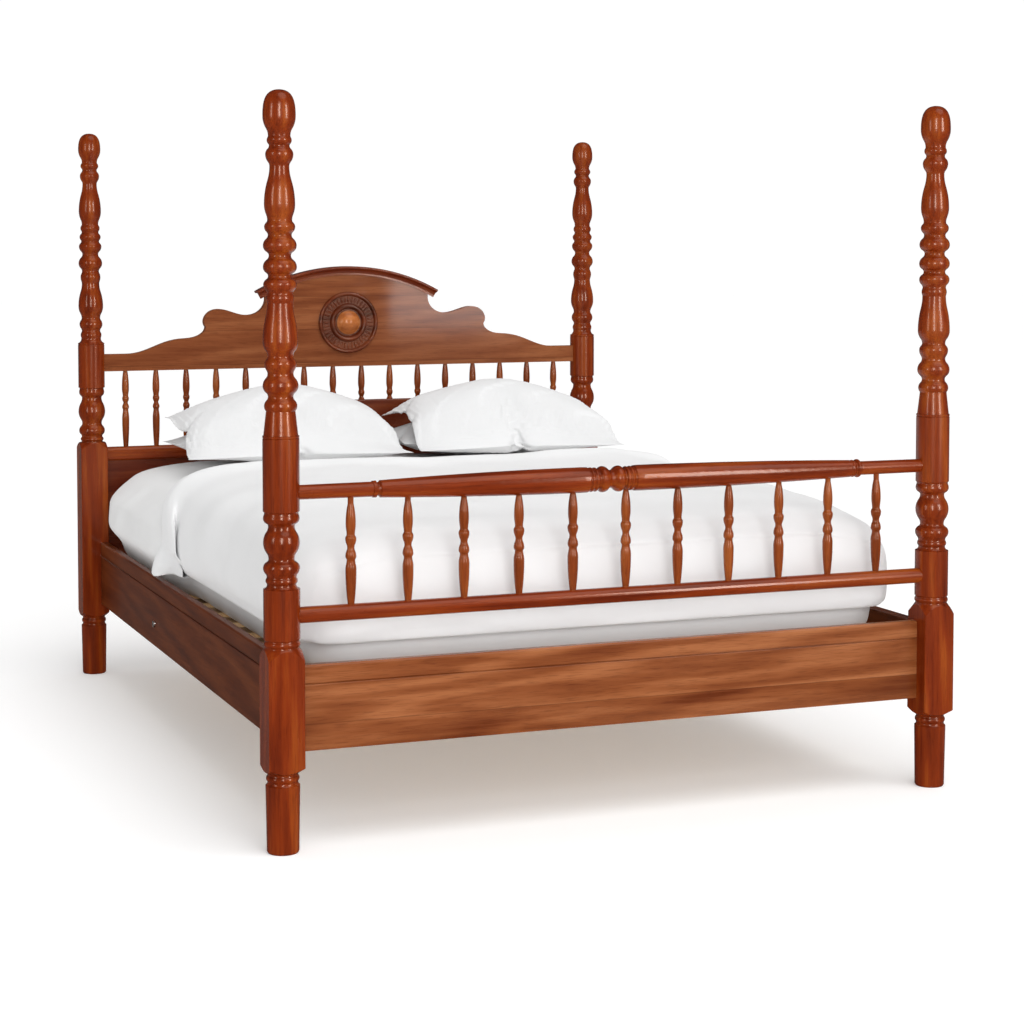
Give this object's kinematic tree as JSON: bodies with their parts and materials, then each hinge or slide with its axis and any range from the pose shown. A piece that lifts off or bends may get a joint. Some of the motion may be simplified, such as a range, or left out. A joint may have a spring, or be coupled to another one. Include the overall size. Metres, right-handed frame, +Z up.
{
  "type": "four poster bed",
  "caption": "Turned hardwood four poster bed with arched headboard, spindled ends, plain side rails, slatted base, mattress, white duvet and pillows.",
  "frame": {"origin": "on the floor at the middle of the four feet", "axes": "+X across the bed to its right seen from the foot, +Y from foot to head, +Z up"},
  "size_m": [1.669, 2.177, 1.61],
  "materials": {
    "hardwood": "red-brown stained hardwood under satin varnish",
    "pine": "planed, unfinished softwood",
    "zinc": "bright zinc-plated steel",
    "steel": "plain rolled steel",
    "cotton": "white woven cotton over a soft filling",
    "ticking": "white cotton sheet over a mattress"
  },
  "bodies": {
    "frame": {"back_left_post": "hardwood", "back_left_post_top": "hardwood", "back_right_post": "hardwood", "back_right_post_top": "hardwood", "bearer_bolts": "zinc", "bearer_nuts": "zinc", "crest_moulding": "hardwood", "cross_bearer": "pine", "foot_board": "hardwood", "foot_lower_rail": "hardwood", "foot_spindle_01": "hardwood", "foot_spindle_02": "hardwood", "foot_spindle_03": "hardwood", "foot_spindle_04": "hardwood", "foot_spindle_05": "hardwood", "foot_spindle_06": "hardwood", "foot_spindle_07": "hardwood", "foot_spindle_08": "hardwood", "foot_spindle_09": "hardwood", "foot_spindle_10": "hardwood", "foot_spindle_11": "hardwood", "foot_top_rail": "hardwood", "front_left_post": "hardwood", "front_left_post_top": "hardwood", "front_right_post": "hardwood", "front_right_post_top": "hardwood", "head_spindle_01": "hardwood", "head_spindle_02": "hardwood", "head_spindle_03": "hardwood", "head_spindle_04": "hardwood", "head_spindle_05": "hardwood", "head_spindle_06": "hardwood", "head_spindle_07": "hardwood", "head_spindle_08": "hardwood", "head_spindle_09": "hardwood", "head_spindle_10": "hardwood", "head_spindle_11": "hardwood", "head_spindle_12": "hardwood", "head_spindle_13": "hardwood", "head_spindle_14": "hardwood", "head_spindle_15": "hardwood", "head_spindle_16": "hardwood", "headboard_board": "hardwood", "headboard_panel": "hardwood", "headboard_rail": "hardwood", "headboard_slip": "hardwood", "hook_pins": "steel", "medallion_boss": "hardwood", "medallion_ring": "hardwood", "rail_cleats": "pine", "rail_hooks": "steel", "side_rail_left": "hardwood", "side_rail_right": "hardwood", "slats": "pine"},
    "mattress": {"mattress": "ticking"},
    "duvet": {"duvet": "cotton"},
    "pillow_left_lower": {"pillow_left_lower": "cotton"},
    "pillow_left_upper": {"pillow_left_upper": "cotton"},
    "pillow_right_lower": {"pillow_right_lower": "cotton"},
    "pillow_right_upper": {"pillow_right_upper": "cotton"}
  },
  "joints": [
    {"name": "mattress_lift", "type": "slide", "parent": "frame", "child": "mattress", "axis": [0, 0, 1], "range_m": [0, 0.25]},
    {"name": "duvet_lift", "type": "slide", "parent": "mattress", "child": "duvet", "axis": [0, 0, 1], "range_m": [0, 0.25]},
    {"name": "pillow_left_lower_lift", "type": "slide", "parent": "mattress", "child": "pillow_left_lower", "axis": [0, 0, 1], "range_m": [0, 0.25]},
    {"name": "pillow_left_upper_lift", "type": "slide", "parent": "pillow_left_lower", "child": "pillow_left_upper", "axis": [0, 0, 1], "range_m": [0, 0.2]},
    {"name": "pillow_right_lower_lift", "type": "slide", "parent": "mattress", "child": "pillow_right_lower", "axis": [0, 0, 1], "range_m": [0, 0.25]},
    {"name": "pillow_right_upper_lift", "type": "slide", "parent": "pillow_right_lower", "child": "pillow_right_upper", "axis": [0, 0, 1], "range_m": [0, 0.2]}
  ]
}
